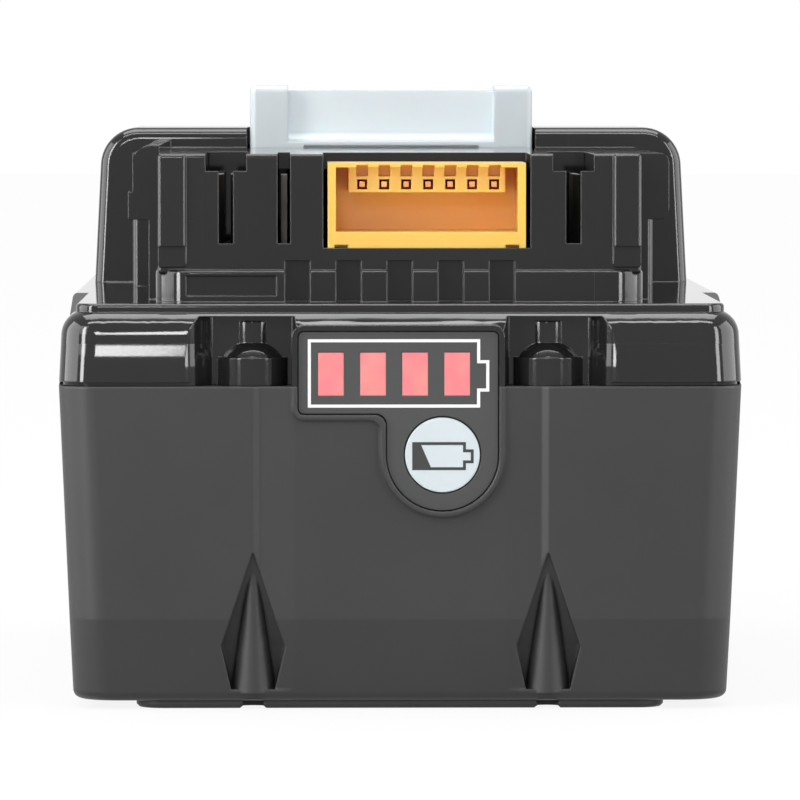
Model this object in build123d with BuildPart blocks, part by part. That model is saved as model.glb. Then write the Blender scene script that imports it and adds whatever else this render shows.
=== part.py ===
from build123d import *
import math
import os

# Slide-on power tool battery pack, millimetres.
# +X is right and +Z is up as seen from the connector end; +Y runs to the release button.

# How far cuts run past the faces they open, and joined forms run into each other
overcut = 1.0
bite = 0.5

# Cells and the frames that hold them
cell_diameter = 18.3
cell_length = 65.0
cell_columns = 5
cell_layers = 2
cell_gap = 0.8
cell_nub_radius = 2.8
cell_nub_height = 0.9
cell_groove_depth = 0.5
cell_groove_place = 3.4
cell_edge_radius = 0.8
holder_rim = 0.8
holder_depth = 8.0
holder_fit = 0.15
frame_corner = 3.0
strip_thickness = 0.25
strip_margin = 4.0
strip_corner = 2.0
lead_inset = 2.0
insulator_thickness = 0.5
insulator_margin = 2.0
end_clearance = 0.55
foam_thickness = 1.0
foam_margin = 3.0

# Case shells
wall = 2.2
bay_wall = 3.4
floor_wall = 2.2
deck_wall = 1.8
roof_clearance = 0.6
front_room = 6.95
rear_room = 6.0
upper_side_height = 9.0
waist_height = 10.0
side_draft = 1.5
front_draft = 0.9
front_tuck = 1.6
upper_draft = 0.4
corner_radius = 4.0
base_pad_height = 0.9
base_pad_side = 8.4
base_pad_lip = 0.3
base_pad_corner = 3.0
base_pad_chamfer = 0.3
base_edge_radius = 1.0
foot_height = 2.2
deck_edge_radius = 2.8
plate_rise = 0.7
plate_inset = 1.5
plate_edge_radius = 0.4
skirt_length = 75.0
skirt_ramp = 34.0
skirt_edge_radius = 0.5
seam_groove = 0.45

# Screw columns and the bays they stand in, on the connector end
column_x = 16.2
column_radius = 4.0
column_setback = 0.3
column_crease = 0.8
bay_inner_x = 11.6
bay_outer_x = 20.7
bay_depth = 3.0
bay_inner_round = 1.2
bay_inner_cove = 0.5
bay_outer_lean = 2.4
bay_outer_round = 3.0
bay_outer_cove = 0.9
bay_top_drop = 1.4
dome_drop = 1.9
flute_top = 17.3
flute_widest = 7.0
flute_half_width = 3.5
flute_foot_half_width = 2.4
flute_depth = 2.0
flute_tip = 0.05
ridge_foot_radius = 2.5
ridge_top_radius = 0.3

# Case screws
screw_radius = 1.4
screw_hole_gap = 0.15
screw_grip_gap = 0.05
screw_wall = 1.2
screw_setback = 0.9
screw_head_radius = 1.75
screw_head_gap = 0.15
screw_head_height = 1.6
screw_head_depth = 2.5
screw_end_drop = 4.2
screw_socket_radius = 0.85
screw_socket_depth = 1.2
rear_screw_x = 27.0
plug_height = 0.9
plug_chamfer = 0.2
screw_end_gap = 0.6

# Terminal block
block_width = 53.4
block_height = 16.3
block_setback = 8.7
block_wall = 1.9
plinth_height = 3.5
plinth_lead = 1.0
plinth_overhang = 0.3
plinth_corner = 4.0
pillar_width = 3.1
pillar_lead = 0.7
pillar_foot_gap = 0.3
pillar_notch_height = 2.6
pillar_notch_depth = 0.5
vent_count = 5
vent_pitch = 5.65
vent_width = 2.8
vent_depth = 2.0
plinth_window_left = 23.6
plinth_window_right = 13.6
plinth_window_height = 2.2
plinth_window_depth = 0.4
pillar_hole_radius = 1.5
pillar_hole_depth = 2.0

# Rails beside the block
rail_overhang = 3.5
rail_height = 7.4
rail_setback = 16.0
rail_round = 1.0
block_edge_radius = 0.4
rail_stop_round = 0.7
neck_overhang = 1.2
rail_stop_overhang = 4.2
rail_stop_length = 15.0
rail_panel_height = 4.3
rail_panel_inset = 0.5
rail_panel_rise = 0.9
rail_panel_round = 2.0

# Terminal slots and their contacts
slot_x = 19.2
slot_width = 4.5
slot_wall = 1.3
slot_length = 24.0
slot_slit_width = 1.6
slot_slit_depth = 9.9
slot_mouth_height = 1.9
signal_x = -12.8
signal_slot_width = 1.4
signal_slot_length = 16.0
contact_setback = 8.0
contact_length = 14.0
contact_top_gap = 2.4
contact_sheet = 0.7
contact_gap = 0.8
contact_base_height = 2.2
contact_base_gap = 0.15
contact_flare = 0.7
signal_contact_length = 7.0
slot_wall_gap = 0.4

# Signal connector
connector_x = 3.0
connector_width = 21.9
connector_drop = 1.0
connector_height = 9.4
connector_depth = 13.5
connector_wall = 0.9
connector_lip = 1.8
connector_side_gap = 0.5
connector_back_wall = 3.0
tongue_left = 2.3
tongue_right = 2.2
tongue_height = 3.3
tongue_setback = 2.9
tongue_roof = 0.5
pin_count = 7
pin_pitch = 2.44
pin_square = 0.64
pin_hole_square = 1.1
pin_sink = 0.4
pin_drop = 0.9
pin_centre_x = 3.2
comb_notch_width = 1.3
comb_notch_height = 0.25
comb_notch_depth = 1.4
lip_notch_width = 1.5
lip_notch_height = 0.35

# Circuit board in the block
board_thickness = 1.6
board_gap = 1.2
board_rise = 3.2
board_screw_x = 10.0
board_ledge_width = 3.0
board_ledge_bite = 1.2
board_screw_back = 6.0
board_post_radius = 2.6
board_screw_radius = 0.95
board_screw_gap = 0.05
board_hole_gap = 0.2
board_screw_length = 6.0
board_screw_head_radius = 2.0
board_screw_head_height = 1.2
chip_size = 10.0
chip_height = 1.4
chip_chamfer = 0.3
chip_back = 30.0
transistor_count = 3
transistor_width = 6.2
transistor_length = 6.6
transistor_height = 1.6
transistor_pitch = 8.6
transistor_inset = 8.7
shunt_length = 10.0
shunt_width = 4.0
shunt_height = 2.2
shunt_round = 0.7
capacitor_count = 3
capacitor_radius = 1.7
capacitor_height = 4.6
capacitor_chamfer = 0.3
capacitor_pitch = 5.0
thermistor_radius = 1.3
thermistor_length = 6.0
thermistor_gap = 0.05
thermistor_leg = 0.3

# Hump at the button end
hump_length = 36.0
hump_inset = 1.5
hump_lean = 1.0
hump_height = 18.7
hump_corner = 4.6
hump_front_round = 1.4
hump_wall = 2.2

# Release latch
latch_half_width = 17.1
latch_height = 5.1
latch_travel = 5.0
latch_gap = 0.35
hook_setback = 0.6
hook_length = 9.0
hook_floor_gap = 0.4
hook_round = 0.8
latch_pillar_width = 4.6
ramp_rise = 0.7
ramp_drop = 0.6
ramp_reach = 3.4
ramp_lean = 1.0
ramp_fillet = 1.6
hook_slot_margin = 1.9
hook_slot_height = 0.5
hook_slot_depth = 0.8
bridge_floor_gap = 1.0
bridge_thickness = 3.2
pad_half_width = 14.4
pad_sill = 2.05
pad_height = 12.4
pad_apron = 1.2
pad_apron_overlap = 0.8
pad_thickness = 5.0
pad_setback = 0.5
pad_scoop_radius = 16.0
pad_scoop_depth = 1.5
grip_count = 4
grip_pitch = 2.2
grip_size = 0.45
grip_margin = 2.5
thumb_recess_side = 3.6
thumb_recess_margin = 0.9
thumb_recess_depth = 0.8
spring_mean_radius = 2.6
spring_wire = 0.6
spring_turns = 4
spring_socket_depth = 1.9
spring_socket_gap = 0.5
spring_setback = 10.4
spring_seat_gap = 0.05
shelf_half_length = 4.5
peg_radius = 1.9
peg_height = 1.6

# Charge gauge on the connector end
gauge_left = 11.2
gauge_drop = 3.0
gauge_height = 9.0
gauge_corner = 0.6
lobe_x = 4.55
lobe_drop = 4.5
lobe_radius = 6.1
lobe_blend = 1.2
gauge_thickness = 1.2
gauge_rim_width = 0.7
gauge_rim_height = 0.35
gauge_sink = 0.3
gauge_fit = 0.1
gauge_back_wall = 1.2
light_count = 4
light_pitch = 4.6
light_centre_x = -0.75
light_drop = 4.65
light_width = 2.8
light_height = 4.7
button_radius = 4.1
button_travel = 0.5
button_proud = 0.15
window_gap = 0.05
button_stem_radius = 1.8
button_gap = 0.15
gauge_board_inset = 1.8
gauge_board_height = 18.8
gauge_board_drop = 0.2
gauge_board_thickness = 1.0
gauge_pocket_gap = 0.2
led_width = 1.6
led_height = 3.0
led_thickness = 0.8
switch_size = 4.5
switch_thickness = 0.9
plunger_radius = 0.9
plunger_height = 0.7
ribbon_width = 7.0
ribbon_thickness = 0.2
ribbon_rise = 0.6
ribbon_bite = 1.6

# Places worked out from the sizes above
cell_radius = cell_diameter / 2
cell_pitch = cell_diameter + cell_gap
row_length = (cell_columns - 1) * cell_pitch + cell_diameter
case_width = cell_length + 2 * (strip_thickness + insulator_thickness + end_clearance + wall + side_draft)
case_length = row_length + 2 * (holder_rim + wall) + front_room + rear_room + gauge_rim_height
case_front = gauge_rim_height - case_length / 2
case_rear = case_length / 2
inner_front = case_front + wall
inner_rear = case_rear - wall
holder_front = inner_front + front_room
holder_bottom = floor_wall + foam_thickness
holder_top = holder_bottom + 2 * holder_rim + (cell_layers - 1) * cell_pitch + cell_diameter
deck_under = holder_top + roof_clearance
deck_height = deck_under + deck_wall
shoulder_height = deck_height - plate_rise
seam_height = deck_height - upper_side_height
bay_top = deck_height - bay_top_drop
dome_top = deck_height - dome_drop
screw_end_height = deck_height - screw_end_drop
block_top = deck_height + block_height
hump_top = deck_height + hump_height
latch_top = hump_top + latch_height
board_height = deck_under + board_rise
first_cell_y = holder_front + holder_rim + cell_radius
first_cell_z = holder_bottom + holder_rim + cell_radius
bay_face = case_front + bay_depth
column_y = case_front + column_setback + column_radius
cavity_front = bay_face + bay_wall
rear_screw_y = inner_rear - screw_radius - screw_hole_gap - screw_wall
screw_places = [(side * column_x, column_y + screw_setback) for side in (-1, 1)]
screw_places += [(side * rear_screw_x, rear_screw_y) for side in (-1, 1)]
screw_head_seat = base_pad_height + screw_head_depth
block_front = case_front + block_setback
plinth_front = block_front - plinth_lead
plinth_top = deck_height + plinth_height
hollow_front = block_front + block_wall
hollow_half_width = block_width / 2 - block_wall
hollow_roof = block_top - block_wall
board_top = board_height + board_thickness
board_front = hollow_front + board_gap
hump_front = case_rear - hump_length
board_rear = hump_front - block_wall - board_gap
board_half_width = hollow_half_width - board_gap / 2
transistor_x = board_half_width - transistor_inset
rail_front = case_front + rail_setback
rail_reach = block_width / 2 + rail_overhang
rail_bottom = block_top - rail_height
rail_panel_bottom = block_top - rail_panel_height
neck_reach = block_width / 2 + neck_overhang
rail_stop_reach = block_width / 2 + rail_stop_overhang
slot_slit_bottom = block_top - slot_slit_depth
slot_back = block_front + slot_length
connector_left = connector_x - connector_width / 2
connector_right = connector_x + connector_width / 2
connector_top = block_top - connector_drop
connector_bottom = connector_top - connector_height
tongue_bottom = connector_top - tongue_height
connector_rear = block_front + connector_depth
tongue_front = block_front + tongue_setback
pin_z = tongue_bottom + pin_drop
hump_half_width = case_width / 2 - hump_inset
hook_front = hump_front + hook_setback
hook_rear = hook_front + hook_length
hook_bottom = deck_under + latch_travel + hook_floor_gap
ramp_foot = block_top + ramp_rise
ramp_half_width = latch_half_width - latch_pillar_width
bridge_bottom = deck_height + latch_travel + bridge_floor_gap
spring_place = hook_rear + spring_setback
pad_rear = case_rear - pad_setback
pad_front = pad_rear - pad_thickness
pad_window_bottom = seam_height + pad_sill
pad_bottom = pad_window_bottom + latch_travel + latch_gap
pad_top = pad_bottom + pad_height
pad_window_top = pad_top + latch_gap
gauge_top = deck_height - gauge_drop
gauge_low = gauge_top - gauge_height
lobe_z = gauge_low - lobe_drop
light_centre_z = gauge_top - light_drop
gauge_board_half_width = gauge_left - gauge_board_inset
gauge_board_top = gauge_top - gauge_board_drop
gauge_board_bottom = gauge_board_top - gauge_board_height
gauge_floor = case_front + gauge_sink + gauge_thickness
gauge_pocket_front = gauge_floor + gauge_back_wall
gauge_board_front = gauge_pocket_front + switch_thickness + gauge_pocket_gap
gauge_board_back = gauge_board_front + gauge_board_thickness


def save(piece, name):
    """Label a finished piece and write it under its node name."""
    piece.label = name
    export_step(piece, f"parts/{name}.step")


def box_between(low, high, mode=Mode.ADD):
    """A box between two corners, inside the current part."""
    size = [high[i] - low[i] for i in range(3)]
    middle = [(high[i] + low[i]) / 2 for i in range(3)]
    with Locations(tuple(middle)):
        Box(size[0], size[1], size[2], mode=mode)


def arc_about(centre, start, end):
    """The short arc from start to end round a centre, inside the current line."""
    radius = math.dist(centre, start)
    middle = [(start[i] + end[i]) / 2 - centre[i] for i in range(2)]
    reach = radius / math.hypot(middle[0], middle[1])
    through = (centre[0] + middle[0] * reach, centre[1] + middle[1] * reach)
    ThreePointArc(start, through, end)


def outer_bay_wall(front):
    """The bay's outer wall, from where its floor meets the screw column out to the case's front."""
    recess = front + bay_depth
    chord = math.sqrt(column_radius ** 2 - (column_setback + column_radius - bay_depth) ** 2)
    foot = (column_x + chord, recess)
    mouth = (bay_outer_x + bay_outer_lean + 2 * bay_outer_round / 3, front)
    FilletPolyline(foot, (bay_outer_x, recess), (bay_outer_x + bay_outer_lean, front), mouth,
                   radius=[bay_outer_cove, bay_outer_round])
    return foot, mouth


def case_outline(inset_x, inset_front, inset_rear):
    """Right half of the case outline with the crease beside its centre panel, for a mirror about X = 0."""
    half = case_width / 2 - inset_x
    front = case_front + inset_front
    rear = case_rear - inset_rear
    Polyline((0, front), (bay_inner_x, front), (column_x - column_crease, front + column_setback),
             (column_x, front), (half - corner_radius, front))
    arc_about((half - corner_radius, front + corner_radius), (half - corner_radius, front),
              (half, front + corner_radius))
    Line((half, front + corner_radius), (half, rear - corner_radius))
    arc_about((half - corner_radius, rear - corner_radius), (half, rear - corner_radius),
              (half - corner_radius, rear))
    Line((half - corner_radius, rear), (0, rear))


def rounded_block(low, high, radius):
    """A box with all its edges rounded, as a plain form."""
    with BuildPart() as form:
        box_between(low, high)
        fillet(form.edges(), radius)
    return form.part


def front_plane(y):
    """A plane across the pack at y, with sketch x to the right and sketch y up."""
    return Plane(origin=(0, y, 0), x_dir=(1, 0, 0), z_dir=(0, -1, 0))


def side_plane(x):
    """A plane along the pack at x, with sketch x towards the button end and sketch y up."""
    return Plane(origin=(x, 0, 0), x_dir=(0, 1, 0), z_dir=(1, 0, 0))


def cell_places():
    """The cells' centres in y and z, column by column, with the side that the plus end faces."""
    for column in range(cell_columns):
        for layer in range(cell_layers):
            plus_side = 1 if column % 2 == 0 else -1
            yield first_cell_y + column * cell_pitch, first_cell_z + layer * cell_pitch, plus_side


os.makedirs("parts", exist_ok=True)


def tub_insets(height, curl=0.0):
    """How far the tub's sides, front and rear stand in at a height, with the rounding of its foot."""
    side = side_draft * (1 - height / seam_height)
    end = front_draft * min(1.0, (seam_height - height) / (seam_height - waist_height))
    tuck = front_tuck * max(0.0, waist_height - height) / waist_height
    return side + curl, end + tuck + curl, end + curl


def gauge_face(y, grow, low_z=0.0, high_z=deck_height):
    """The gauge's outline at y, grown by an amount and kept between two heights."""
    radius = lobe_radius + grow
    left = -gauge_left - grow
    right = lobe_x + radius
    top = gauge_top + grow
    low = gauge_low - grow
    with BuildSketch(front_plane(y)) as face:
        Polygon((left, low), (lobe_x - radius, low), (lobe_x - radius, lobe_z), (right, lobe_z),
                (right, top), (left, top), align=None)
        with Locations((lobe_x, lobe_z)):
            Circle(radius)
        top_right = face.vertices().group_by(Axis.Y)[-1].sort_by(Axis.X)[-1:]
        fillet(face.vertices().group_by(Axis.X)[0] + top_right, gauge_corner + grow)
        blend_corner = face.vertices().sort_by_distance((lobe_x - radius, low))[0]
        fillet(blend_corner, lobe_blend)
        with Locations((0, (low_z + high_z) / 2)):
            Rectangle(case_width, high_z - low_z, mode=Mode.INTERSECT)
    return face.sketch


def gauge_seat(low_z, high_z):
    """The raised rim round the charge gauge on one case shell, between two heights."""
    extrude(gauge_face(-case_length / 2, gauge_rim_width, low_z, high_z),
            amount=-(gauge_rim_height + bay_depth))


def gauge_cuts():
    """The gauge's recess, its windows, the button's hole and the room for its board."""
    face_depth = gauge_floor - case_front + gauge_rim_height + overcut
    extrude(gauge_face(-case_length / 2 - overcut, gauge_fit), amount=-face_depth, mode=Mode.SUBTRACT)
    with BuildSketch(front_plane(gauge_floor - overcut)) as openings:
        with Locations((light_centre_x, light_centre_z)):
            with GridLocations(light_pitch, 1, light_count, 1):
                Rectangle(light_width + 2 * gauge_fit, light_height + 2 * gauge_fit)
        with Locations((lobe_x, lobe_z)):
            Circle(button_stem_radius + button_gap)
    extrude(openings.sketch, amount=-(gauge_back_wall + 2 * overcut), mode=Mode.SUBTRACT)
    half = gauge_board_half_width + gauge_pocket_gap
    box_between((-half, gauge_pocket_front, gauge_board_bottom),
                (half, cavity_front + overcut, gauge_board_top + ribbon_rise + gauge_pocket_gap),
                Mode.SUBTRACT)


# Lower case: drafted tub with a rounded foot, screw columns, flutes and a base pad
foot_steps = 6
foot_levels = []
for step in range(foot_steps, -1, -1):
    turn = math.radians(90 * step / foot_steps)
    level = base_pad_height + base_edge_radius * (1 - math.sin(turn))
    foot_levels.append((level, base_edge_radius * (1 - math.cos(turn))))
tub_levels = foot_levels + [(waist_height, 0.0), (seam_height, 0.0)]
foot_levels.append((foot_height, 0.0))

with BuildPart() as lower_case:
    for level, curl in tub_levels:
        inset_side, inset_front, inset_rear = tub_insets(level, curl)
        with BuildSketch(Plane.XY.offset(level)):
            with BuildLine():
                case_outline(inset_side, inset_front, inset_rear)
                mirror(about=Plane.YZ)
            make_face()
    loft(ruled=True)
    # Foot that runs on under the bays
    for level, curl in foot_levels:
        inset_side, inset_front, inset_rear = tub_insets(level, curl)
        with BuildSketch(Plane.XY.offset(level)):
            with Locations((0, (case_front + inset_front + case_rear - inset_rear) / 2)):
                RectangleRounded(case_width - 2 * inset_side,
                                 case_rear - inset_rear - case_front - inset_front,
                                 corner_radius)
    loft(ruled=True)
    gauge_seat(0, seam_height)
    inset_side, inset_front, inset_rear = tub_insets(base_pad_height)
    pad_front_y = case_front + inset_front + base_edge_radius + base_pad_lip
    pad_rear_y = case_rear - inset_rear - base_edge_radius - base_pad_lip
    with BuildSketch(Plane.XY):
        with Locations((0, (pad_front_y + pad_rear_y) / 2)):
            RectangleRounded(case_width - 2 * base_pad_side, pad_rear_y - pad_front_y, base_pad_corner)
    extrude(amount=floor_wall)
    chamfer(lower_case.faces().sort_by(Axis.Z)[0].edges(), base_pad_chamfer)
    for level in (floor_wall, waist_height, seam_height):
        inset_side, inset_front, inset_rear = tub_insets(level)
        rear = inner_rear - inset_rear
        with BuildSketch(Plane.XY.offset(level)):
            with Locations((0, (cavity_front + rear) / 2)):
                RectangleRounded(case_width - 2 * (wall + inset_side), rear - cavity_front,
                                 corner_radius - wall)
    loft(ruled=True, mode=Mode.SUBTRACT)
    for side in (-1, 1):
        pocket = sorted((side * (bay_outer_x + bay_depth), side * (case_width / 2 - side_draft - wall)))
        box_between((pocket[0], inner_front + front_draft, waist_height),
                    (pocket[1], cavity_front + overcut, seam_height + overcut), Mode.SUBTRACT)
    # Screw columns inside, flutes cut in the columns outside, and a ridge standing in each flute
    with BuildSketch(Plane.XY.offset(floor_wall / 2)):
        with Locations(*screw_places):
            Circle(screw_radius + screw_hole_gap + screw_wall)
    extrude(amount=seam_height - floor_wall / 2)
    for side in (-1, 1):
        for level, half, depth in ((flute_top, flute_tip, 0.0),
                                   (flute_widest, flute_half_width, flute_depth),
                                   (foot_height, flute_foot_half_width, flute_depth)):
            front = column_y - column_radius + tub_insets(level)[1]
            with BuildSketch(Plane.XY.offset(level)):
                Polygon((side * column_x - half, front - column_radius),
                        (side * column_x + half, front - column_radius),
                        (side * column_x + half, front + depth), (side * column_x - half, front + depth),
                        align=None)
        loft(ruled=True, mode=Mode.SUBTRACT)
        ridge_top_y = column_y - column_radius + front_draft + 2 * ridge_top_radius
        for level, centre_y, radius in ((foot_height - bite, column_y, ridge_foot_radius),
                                        (flute_top, ridge_top_y, ridge_top_radius)):
            with BuildSketch(Plane.XY.offset(level)):
                with Locations((side * column_x, centre_y)):
                    Circle(radius)
        loft()
    with Locations(*[(x, y, -overcut) for x, y in screw_places]):
        Cylinder(screw_head_radius + screw_head_gap, screw_head_seat + overcut,
                 align=(Align.CENTER, Align.CENTER, Align.MIN), mode=Mode.SUBTRACT)
        Cylinder(screw_radius + screw_hole_gap, seam_height + overcut,
                 align=(Align.CENTER, Align.CENTER, Align.MIN), mode=Mode.SUBTRACT)
    gauge_cuts()
save(lower_case.part, "lower_case")


# Hump at the button end, as a plain form that the upper case takes in
with BuildPart() as hump_form:
    with BuildSketch(Plane.XY.offset(deck_under)) as hump_plan:
        with Locations((0, (hump_front + case_rear) / 2)):
            Rectangle(2 * hump_half_width, case_rear - hump_front)
        fillet(hump_plan.vertices().group_by(Axis.Y)[-1], corner_radius)
    extrude(amount=hump_top - deck_under,
            taper=math.degrees(math.atan(hump_lean / (hump_top - deck_under))))
    roof_edges = hump_form.faces().sort_by(Axis.Z)[-1].edges()
    fillet(roof_edges.sort_by(Axis.Y)[1:], hump_corner)
    front_edges = hump_form.faces().sort_by(Axis.Y)[0].edges()
    fillet(front_edges.sort_by(Axis.Z)[1:], hump_front_round)

# Skirt round the hump's foot, where the deck's edge stays square, with a ramp at its front end
with BuildPart() as skirt_form:
    for level, inset, length in ((seam_height, 0.0, skirt_length + skirt_ramp),
                                 (deck_height, upper_draft, skirt_length)):
        with BuildSketch(Plane.XY.offset(level)) as skirt_plan:
            with Locations((0, case_rear - inset - length / 2)):
                Rectangle(case_width - 2 * inset, length)
            fillet(skirt_plan.vertices().group_by(Axis.Y)[-1], corner_radius)
    loft()
    fillet(skirt_form.faces().sort_by(Axis.Z)[-1].edges(), skirt_edge_radius)

# Terminal block, its pillars and the stops beside it, as plain forms with rounded edges
block_forms = [rounded_block((-block_width / 2, block_front, plinth_top - bite),
                             (block_width / 2, hump_front + hump_wall, block_top), block_edge_radius)]
for side in (-1, 1):
    pillar = sorted((side * (block_width / 2 - pillar_width), side * block_width / 2))
    block_forms.append(rounded_block((pillar[0], block_front - pillar_lead, plinth_top + pillar_foot_gap),
                                     (pillar[1], block_front + overcut, block_top), block_edge_radius))
rail_stop_top = rail_bottom + 2 * rail_stop_round
block_forms.append(rounded_block((-rail_stop_reach, hump_front - rail_stop_length, deck_under),
                                 (rail_stop_reach, hump_front + hump_wall, rail_stop_top),
                                 rail_stop_round))

# Upper case: deck, terminal block with rails, and the hump over the latch
with BuildPart() as upper_case:
    middle_y = (case_front + case_rear) / 2
    for level, inset in ((seam_height, 0.0), (shoulder_height, upper_draft)):
        with BuildSketch(Plane.XY.offset(level)):
            with Locations((0, middle_y)):
                RectangleRounded(case_width - 2 * inset, case_rear - case_front - 2 * inset, corner_radius)
    loft()
    fillet(upper_case.faces().sort_by(Axis.Z)[-1].edges(), deck_edge_radius)
    # Raised plate on the deck
    plate_step = upper_draft + plate_inset
    with BuildSketch(Plane.XY.offset(shoulder_height - deck_edge_radius)):
        with Locations((0, middle_y)):
            RectangleRounded(case_width - 2 * plate_step, case_rear - case_front - 2 * plate_step,
                             corner_radius - plate_inset)
    extrude(amount=plate_rise + deck_edge_radius)
    fillet(upper_case.faces().sort_by(Axis.Z)[-1].edges(), plate_edge_radius)
    # Bays beside the centre panel, and the domed screw columns in them
    with BuildSketch(Plane.XY.offset(seam_height)):
        with BuildLine():
            foot, mouth = outer_bay_wall(case_front)
            FilletPolyline((0, case_front), (bay_inner_x, case_front), (bay_inner_x, bay_face), foot,
                           radius=[bay_inner_round, bay_inner_cove])
            Polyline(mouth, (mouth[0], -case_length / 2 - overcut), (0, -case_length / 2 - overcut),
                     (0, case_front))
        make_face()
        mirror(about=Plane.YZ)
    extrude(amount=bay_top - seam_height, mode=Mode.SUBTRACT)
    box_between((-bay_inner_x, cavity_front - bay_wall + overcut, seam_height),
                (bay_inner_x, cavity_front, deck_height - overcut))
    with BuildSketch(Plane.XY.offset(seam_height)):
        with Locations((0, middle_y)):
            Rectangle(case_width + 2, case_rear - case_front + 2 * overcut)
            RectangleRounded(case_width - 2 * seam_groove, case_rear - case_front - 2 * seam_groove,
                             corner_radius, mode=Mode.SUBTRACT)
    extrude(amount=seam_groove, mode=Mode.SUBTRACT)
    gauge_seat(seam_height, deck_height)
    # Block, plinth, rails, skirt and hump on the deck
    add(skirt_form.part)
    add(block_forms)
    with BuildSketch(Plane.XY.offset(deck_under)) as plinth_plan:
        with Locations((0, (plinth_front + hump_front) / 2)):
            Rectangle(block_width + 2 * plinth_overhang, hump_front - plinth_front)
        fillet(plinth_plan.vertices().group_by(Axis.Y)[0], plinth_corner)
    plinth = extrude(amount=plinth_top - deck_under, mode=Mode.PRIVATE)
    add(plinth.fillet(block_edge_radius, plinth.faces().sort_by(Axis.Z)[-1].edges()))
    box_between((-neck_reach, rail_front, deck_under),
                (neck_reach, hump_front + overcut, rail_bottom + overcut))
    with BuildSketch(front_plane(rail_front)) as rail_section:
        Polygon((-rail_reach, rail_bottom), (rail_reach, rail_bottom), (rail_reach, block_top),
                (-rail_reach, block_top), align=None)
        with Locations((-rail_reach, (rail_panel_bottom + block_top + rail_panel_rise) / 2)):
            Rectangle(2 * rail_panel_inset, block_top + rail_panel_rise - rail_panel_bottom,
                      mode=Mode.SUBTRACT)
        fillet(rail_section.vertices().sort_by(Axis.X)[-2:], rail_round)
    extrude(amount=-(hump_front + overcut - rail_front))
    rib_left = rail_panel_inset - rail_reach
    with BuildSketch(front_plane(rail_front)) as rail_rib:
        Polygon((rib_left, rail_panel_bottom), (-block_width / 2, rail_panel_bottom),
                (-block_width / 2, block_top + rail_panel_rise),
                (rib_left, block_top + rail_panel_rise), align=None)
        fillet(rail_rib.vertices().sort_by(Axis.Y)[-2:].sort_by(Axis.X)[0], rail_panel_round)
    extrude(amount=-(hump_front + overcut - rail_front))
    add(hump_form.part)
    # Hollow insides
    half_inside = case_width / 2 - upper_draft - wall
    with BuildSketch(Plane.XY.offset(seam_height)):
        with Locations((0, (cavity_front + inner_rear) / 2)):
            RectangleRounded(2 * half_inside, inner_rear - cavity_front, corner_radius - wall)
    extrude(amount=deck_under - seam_height, mode=Mode.SUBTRACT)
    for side in (-1, 1):
        pocket = sorted((side * (bay_outer_x + bay_depth), side * (half_inside - overcut)))
        box_between((pocket[0], inner_front, seam_height - overcut),
                    (pocket[1], cavity_front + overcut, deck_under), Mode.SUBTRACT)
    box_between((-hollow_half_width, hollow_front, deck_under - overcut),
                (hollow_half_width, hump_front - block_wall, hollow_roof), Mode.SUBTRACT)
    hump_inside = hump_half_width - hump_lean - hump_wall
    with BuildSketch(front_plane(hump_front + hump_wall)) as hump_hollow:
        Polygon((-hump_inside, deck_under - overcut), (hump_inside, deck_under - overcut),
                (hump_inside, hump_top - hump_wall), (-hump_inside, hump_top - hump_wall), align=None)
        fillet(hump_hollow.vertices().group_by(Axis.Y)[-1], hump_corner - hump_wall / 2)
    extrude(amount=-(inner_rear - hump_front - hump_wall), mode=Mode.SUBTRACT)
    # Screw columns and bosses
    dome_centre = dome_top - column_radius
    for side in (-1, 1):
        with Locations((side * column_x, column_y, seam_height)):
            Cylinder(column_radius, dome_centre - seam_height,
                     align=(Align.CENTER, Align.CENTER, Align.MIN))
        with Locations((side * column_x, column_y, dome_centre)):
            Sphere(column_radius, arc_size1=0)
    for place in screw_places:
        with Locations((place[0], place[1], seam_height)):
            Cylinder(screw_radius + screw_grip_gap + screw_wall, screw_end_height + wall - seam_height,
                     align=(Align.CENTER, Align.CENTER, Align.MIN))
    for place in screw_places[2:]:
        box_between((place[0] - wall / 2, place[1], seam_height),
                    (place[0] + wall / 2, inner_rear + overcut, deck_height))
    with Locations(*[(x, y, seam_height) for x, y in screw_places]):
        Cylinder(screw_radius + screw_grip_gap, screw_end_height + screw_end_gap - seam_height,
                 align=(Align.CENTER, Align.CENTER, Align.MIN), mode=Mode.SUBTRACT)
    gauge_cuts()
    # Walls of the terminal slots, then the slots with their wide mouths and narrow slits
    for side in (-1, 1):
        centre = side * slot_x
        half = slot_width / 2
        box_between((centre - half - slot_wall, block_front + bite, board_top + slot_wall_gap),
                    (centre + half + slot_wall, slot_back + slot_wall, block_top))
        box_between((centre - half, hollow_front, deck_under),
                    (centre + half, slot_back, block_top + overcut), Mode.SUBTRACT)
        box_between((centre - half, block_front - 2 * overcut, block_top - slot_mouth_height),
                    (centre + half, hollow_front + overcut, block_top + overcut), Mode.SUBTRACT)
        box_between((centre - slot_slit_width / 2, block_front - 2 * overcut, slot_slit_bottom),
                    (centre + slot_slit_width / 2, hollow_front + overcut, block_top + overcut),
                    Mode.SUBTRACT)
    box_between((signal_x - signal_slot_width / 2, block_front - 2 * overcut, slot_slit_bottom),
                (signal_x + signal_slot_width / 2, block_front + signal_slot_length, block_top + overcut),
                Mode.SUBTRACT)
    # Window for the signal connector, open at the top
    box_between((connector_left - connector_side_gap, block_front - overcut, connector_bottom),
                (connector_right + connector_side_gap, connector_rear + connector_side_gap,
                 block_top + overcut), Mode.SUBTRACT)
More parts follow.
